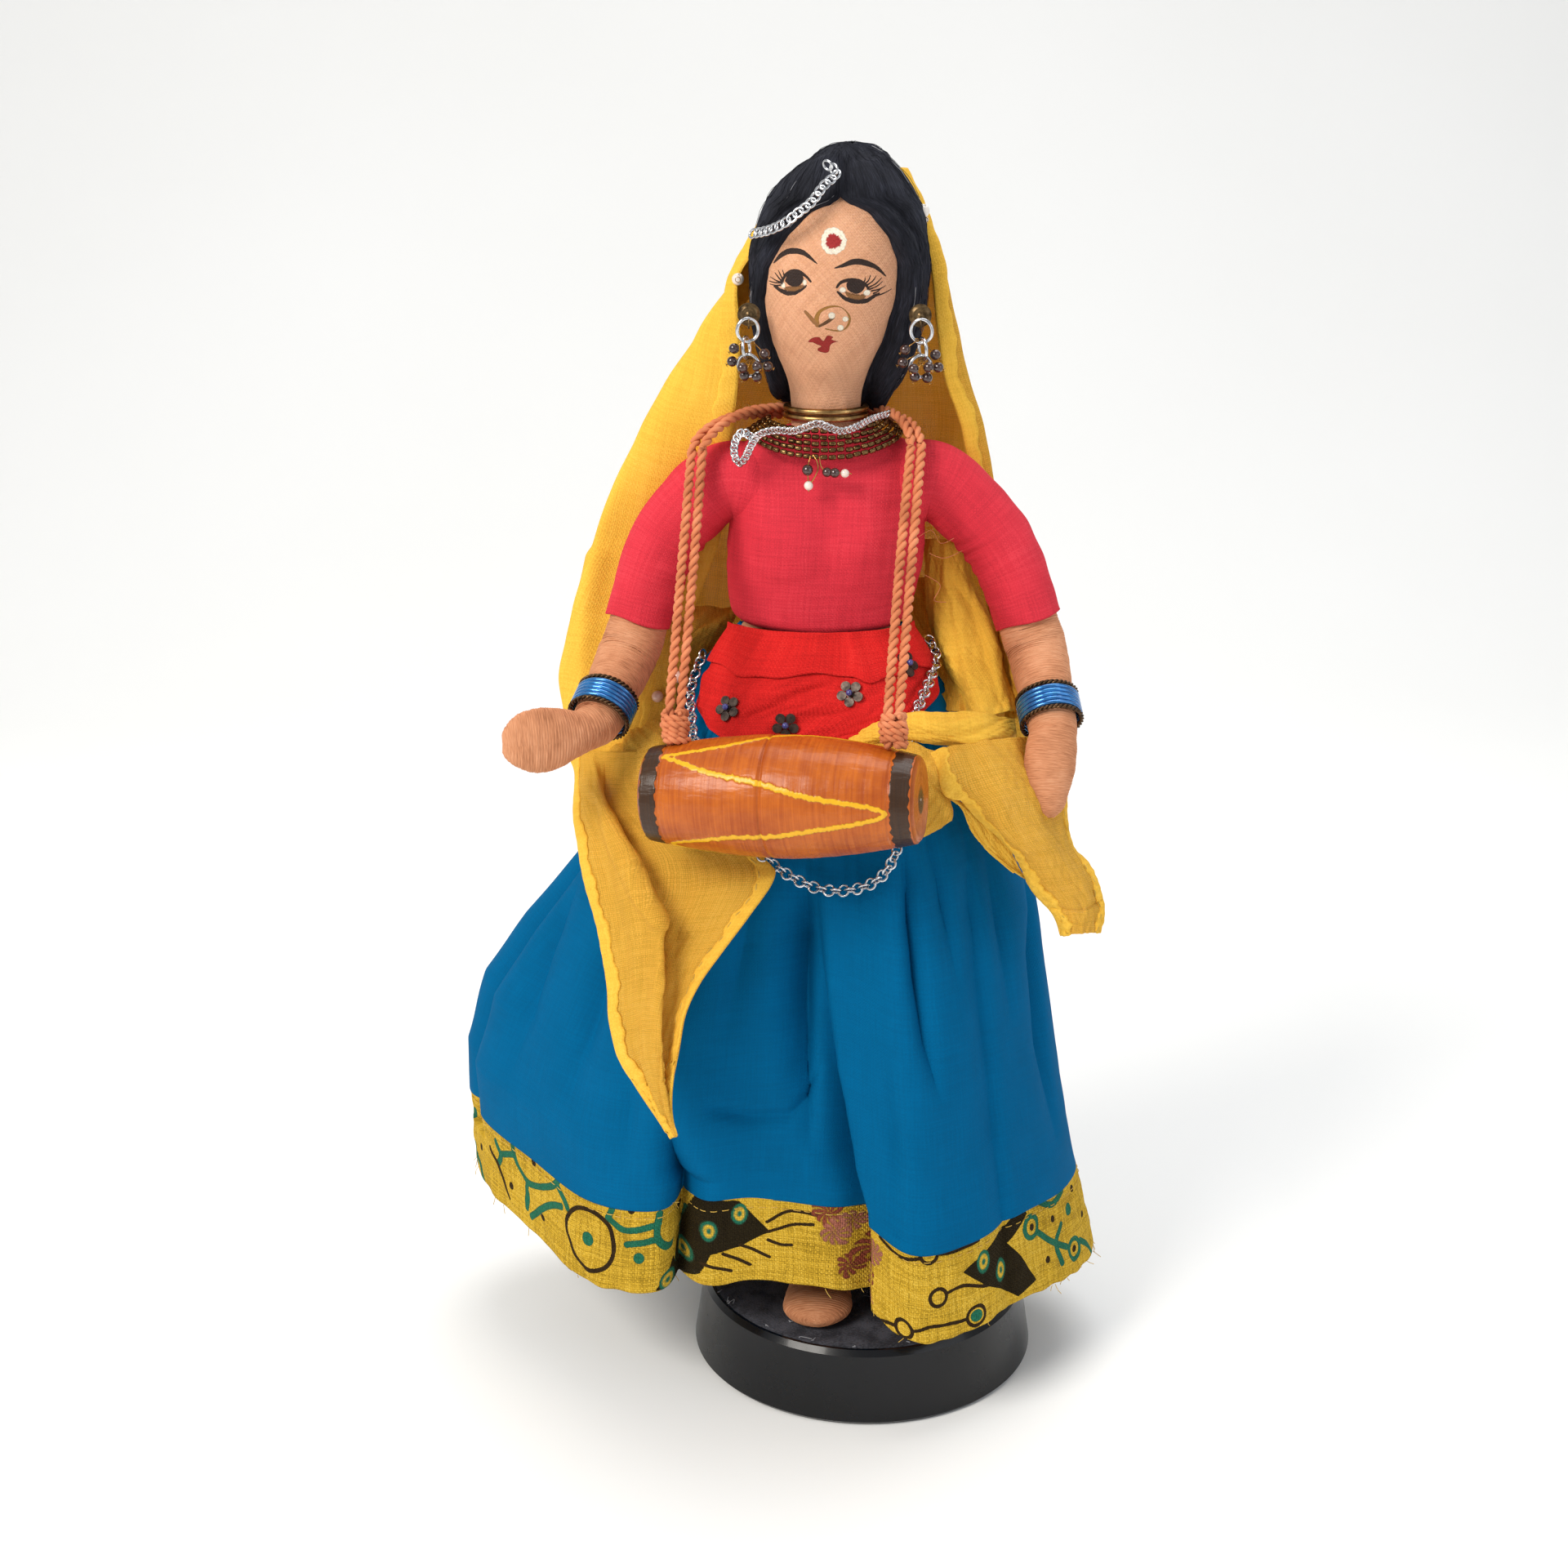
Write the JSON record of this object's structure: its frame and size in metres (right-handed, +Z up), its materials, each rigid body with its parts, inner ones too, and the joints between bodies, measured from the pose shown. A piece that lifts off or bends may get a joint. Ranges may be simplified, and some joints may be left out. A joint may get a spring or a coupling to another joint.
{
  "type": "costumed drummer doll",
  "caption": "Stuffed cloth costume doll in a skirt and veil, a barrel drum slung from its neck by a cord, on a round turned stand; head, arms, drum, bangles and earrings move.",
  "frame": {"origin": "centre of the underside of the stand, on the surface it stands on", "axes": "+Z up the doll, -Y out of the doll's face and drum, +X to the right of someone facing the doll"},
  "size_m": [0.1417, 0.1028, 0.2614],
  "materials": {
    "black_lacquer": "high gloss black lacquer on turned wood",
    "black_flock": "flocked black paper, matt",
    "armature_wire": "plain soft iron wire",
    "skin_cotton": "plain weave cotton over stuffing",
    "foot_thread": "brown thread wound over stuffing",
    "skin_thread": "fine thread wound side by side",
    "neck_paper": "rolled card tube",
    "red_cotton": "crimson plain weave cotton",
    "black_wool": "combed black wool",
    "blue_enamel": "blue enamelled wire",
    "bronze_wire": "twisted dark bronze wire",
    "drum_wood": "orange brown lacquer with painted yellow lines and black bands",
    "cord_yarn": "two ply yarn",
    "brass_ring": "worn brass",
    "bronze_bead": "dark bronze seed beads",
    "silver_link": "bright plated links",
    "dark_bead": "dark brown lustre beads",
    "teal_cotton": "teal plain weave cotton",
    "printed_cotton": null,
    "scarlet_cotton": "scarlet cotton",
    "dark_stamping": "dark stamped metal",
    "violet_bead": "small violet glass beads",
    "yellow_voile": "thin yellow voile",
    "pearl": "pearl lustre"
  },
  "bodies": {
    "doll": {"base": "black_lacquer", "base_flock": "black_flock", "leg_wire_left": "armature_wire", "leg_wire_right": "armature_wire", "leg_left": "skin_cotton", "leg_right": "skin_cotton", "foot_left": "foot_thread", "foot_right": "foot_thread", "hips": "skin_cotton", "torso": "red_cotton", "neck_wire": "armature_wire", "drum_cord_neck": "cord_yarn", "neck_ring": "brass_ring", "collar_beads": "bronze_bead", "neck_chain": "silver_link", "skirt": "teal_cotton", "skirt_border": "printed_cotton", "apron": "scarlet_cotton", "apron_flowers": "dark_stamping", "apron_beads": "violet_bead", "waist_chain": "silver_link", "veil_back": "yellow_voile", "veil_wrap": "yellow_voile", "veil_tail_left": "yellow_voile", "veil_tail_right": "yellow_voile", "side_pins": "pearl"},
    "head": {"head": "skin_cotton", "neck_core": "neck_paper", "hair": "black_wool", "head_chain": "silver_link", "ear_stud_left": "brass_ring", "ear_stud_right": "brass_ring", "veil_hood": "yellow_voile", "veil_pins": "pearl"},
    "arm_left": {"sleeve_left": "red_cotton"},
    "arm_right": {"sleeve_right": "red_cotton"},
    "forearm_left": {"forearm_left": "skin_thread", "hand_left": "skin_thread"},
    "forearm_right": {"forearm_right": "skin_thread", "hand_right": "skin_thread"},
    "bangles_left": {"blue_bangles_left": "blue_enamel", "twist_bangles_left": "bronze_wire"},
    "bangles_right": {"blue_bangles_right": "blue_enamel", "twist_bangles_right": "bronze_wire"},
    "drum": {"drum_body": "drum_wood", "cord_wrap_left": "cord_yarn", "cord_wrap_right": "cord_yarn", "drum_cord_left": "cord_yarn", "drum_cord_right": "cord_yarn"},
    "earring_left": {"ear_rings_left": "silver_link", "ear_beads_left": "dark_bead"},
    "earring_right": {"ear_rings_right": "silver_link", "ear_beads_right": "dark_bead"},
    "pendant": {"pendant_beads": "dark_bead"}
  },
  "joints": [
    {"name": "head_turn", "type": "hinge", "parent": "doll", "child": "head", "pos_m": [-0.0094, 0, 0.21], "axis": [0, 0, 1], "range_deg": [-10, 10]},
    {"name": "shoulder_left", "type": "hinge", "parent": "doll", "child": "arm_left", "pos_m": [-0.03, 0, 0.196], "axis": [0, 1, 0], "range_deg": [0, 35]},
    {"name": "shoulder_right", "type": "hinge", "parent": "doll", "child": "arm_right", "pos_m": [0.0125, 0, 0.196], "axis": [0, -1, 0], "range_deg": [0, 35]},
    {"name": "elbow_left", "type": "hinge", "parent": "arm_left", "child": "forearm_left", "pos_m": [-0.04913, -0.00536, 0.16231], "axis": [-1, 0, 0], "range_deg": [0, 40]},
    {"name": "elbow_right", "type": "hinge", "parent": "arm_right", "child": "forearm_right", "pos_m": [0.03376, -0.00532, 0.16256], "axis": [-1, 0, 0], "range_deg": [0, 40]},
    {"name": "bangles_left_slide", "type": "slide", "parent": "forearm_left", "child": "bangles_left", "axis": [0.2889, 0.7893, 0.5418], "range_m": [0, 0.003]},
    {"name": "bangles_right_slide", "type": "slide", "parent": "forearm_right", "child": "bangles_right", "axis": [-0.1162, 0.7406, 0.6618], "range_m": [0, 0.003]},
    {"name": "drum_swing", "type": "hinge", "parent": "doll", "child": "drum", "pos_m": [-0.0134, -0.0094, 0.2034], "axis": [-1, 0, 0], "range_deg": [0, 30]},
    {"name": "earring_left_swing", "type": "hinge", "parent": "head", "child": "earring_left", "pos_m": [-0.0246, -0.01055, 0.2281], "axis": [-1, 0, 0], "range_deg": [0, 35]},
    {"name": "earring_right_swing", "type": "hinge", "parent": "head", "child": "earring_right", "pos_m": [0.0086, -0.01055, 0.2279], "axis": [-1, 0, 0], "range_deg": [0, 35]},
    {"name": "pendant_swing", "type": "hinge", "parent": "doll", "child": "pendant", "pos_m": [-0.01, -0.01566, 0.2034], "axis": [-1, 0, 0], "range_deg": [0, 40]}
  ]
}
